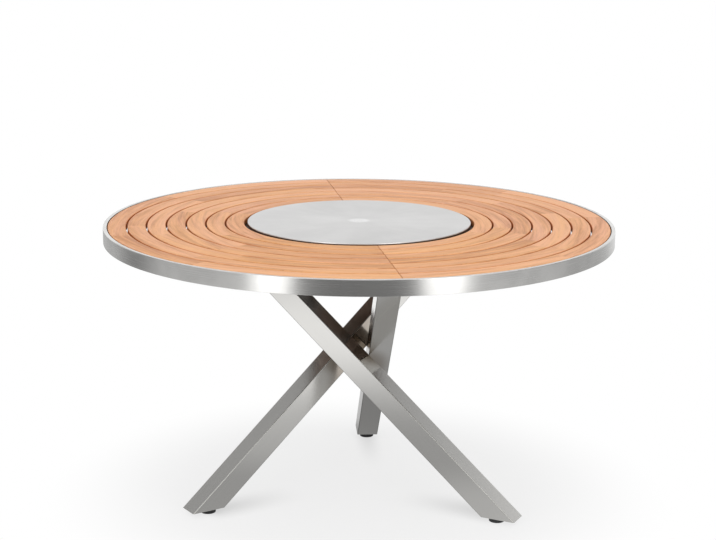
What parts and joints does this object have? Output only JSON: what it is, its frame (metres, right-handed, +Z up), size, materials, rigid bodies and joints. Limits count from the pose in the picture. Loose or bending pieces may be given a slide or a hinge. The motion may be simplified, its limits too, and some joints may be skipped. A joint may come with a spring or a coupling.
{
  "type": "round garden table",
  "caption": "Round outdoor dining table: slatted teak top in a steel rim, turning steel disc in the middle, on three leaning square steel legs that cross and meet at their edges.",
  "frame": {"origin": "on the floor under the middle of the table, level with the undersides of the glides", "axes": "+Z up along the turntable's axis, -Y towards the camera of the picture, +X to its right"},
  "size_m": [1.355, 1.355, 0.7529],
  "materials": {
    "slat_teak": "oiled teak, grain along the rings",
    "batten_teak": "plain teak",
    "rim_steel": "brushed round the rim",
    "disc_steel": "brushed in circles",
    "leg_steel": "brushed along the leg",
    "frame_steel": "mill finish",
    "fastener_steel": "plain",
    "glide_plastic": "moulded black",
    "board_plastic": "black board",
    "bearing_aluminium": "plain",
    "cage_nylon": "natural"
  },
  "bodies": {
    "table": {"rim_band": "rim_steel", "frame_hub_plate": "frame_steel", "frame_arm_1": "frame_steel", "frame_arm_2": "frame_steel", "frame_arm_3": "frame_steel", "frame_arm_4": "frame_steel", "frame_arm_5": "frame_steel", "frame_arm_6": "frame_steel", "slat_left_1": "slat_teak", "slat_left_2": "slat_teak", "slat_left_3": "slat_teak", "slat_left_4": "slat_teak", "slat_left_5": "slat_teak", "slat_left_6": "slat_teak", "slat_left_7": "slat_teak", "slat_right_1": "slat_teak", "slat_right_2": "slat_teak", "slat_right_3": "slat_teak", "slat_right_4": "slat_teak", "slat_right_5": "slat_teak", "slat_right_6": "slat_teak", "slat_right_7": "slat_teak", "batten_left_1": "batten_teak", "batten_left_2": "batten_teak", "batten_left_3": "batten_teak", "batten_left_4": "batten_teak", "batten_right_1": "batten_teak", "batten_right_2": "batten_teak", "batten_right_3": "batten_teak", "batten_right_4": "batten_teak", "turntable_base_plate": "frame_steel", "bearing_outer_ring": "bearing_aluminium", "leg_1": "leg_steel", "leg_2": "leg_steel", "leg_3": "leg_steel", "leg_top_plate_1": "frame_steel", "leg_top_plate_2": "frame_steel", "leg_top_plate_3": "frame_steel", "foot_plate_1": "frame_steel", "foot_plate_2": "frame_steel", "foot_plate_3": "frame_steel", "leg_bolt_1": "fastener_steel", "leg_bolt_2": "fastener_steel", "leg_bolt_3": "fastener_steel", "leg_bolt_4": "fastener_steel", "leg_bolt_5": "fastener_steel", "leg_bolt_6": "fastener_steel"},
    "turntable": {"turntable_disc": "disc_steel", "turntable_board": "board_plastic", "bearing_inner_ring": "bearing_aluminium"},
    "ball_cage": {"bearing_ball_cage": "cage_nylon"},
    "glide_1": {"glide_pad_1": "glide_plastic", "glide_stud_1": "fastener_steel"},
    "glide_2": {"glide_pad_2": "glide_plastic", "glide_stud_2": "fastener_steel"},
    "glide_3": {"glide_pad_3": "glide_plastic", "glide_stud_3": "fastener_steel"}
  },
  "joints": [
    {"name": "turntable_spin", "type": "hinge", "parent": "table", "child": "turntable", "pos_m": [0, 0, 0.738], "axis": [0, 0, 1], "continuous": true},
    {"name": "ball_cage_spin", "type": "hinge", "parent": "table", "child": "ball_cage", "pos_m": [0, 0, 0.738], "axis": [0, 0, 1], "continuous": true},
    {"name": "glide_1_adjust", "type": "slide", "parent": "table", "child": "glide_1", "axis": [0, 0, -1], "range_m": [0, 0.01]},
    {"name": "glide_2_adjust", "type": "slide", "parent": "table", "child": "glide_2", "axis": [0, 0, -1], "range_m": [0, 0.01]},
    {"name": "glide_3_adjust", "type": "slide", "parent": "table", "child": "glide_3", "axis": [0, 0, -1], "range_m": [0, 0.01]}
  ],
  "couplings": [
    {"joint": "ball_cage_spin", "follows": "turntable_spin", "ratio": 0.5}
  ]
}
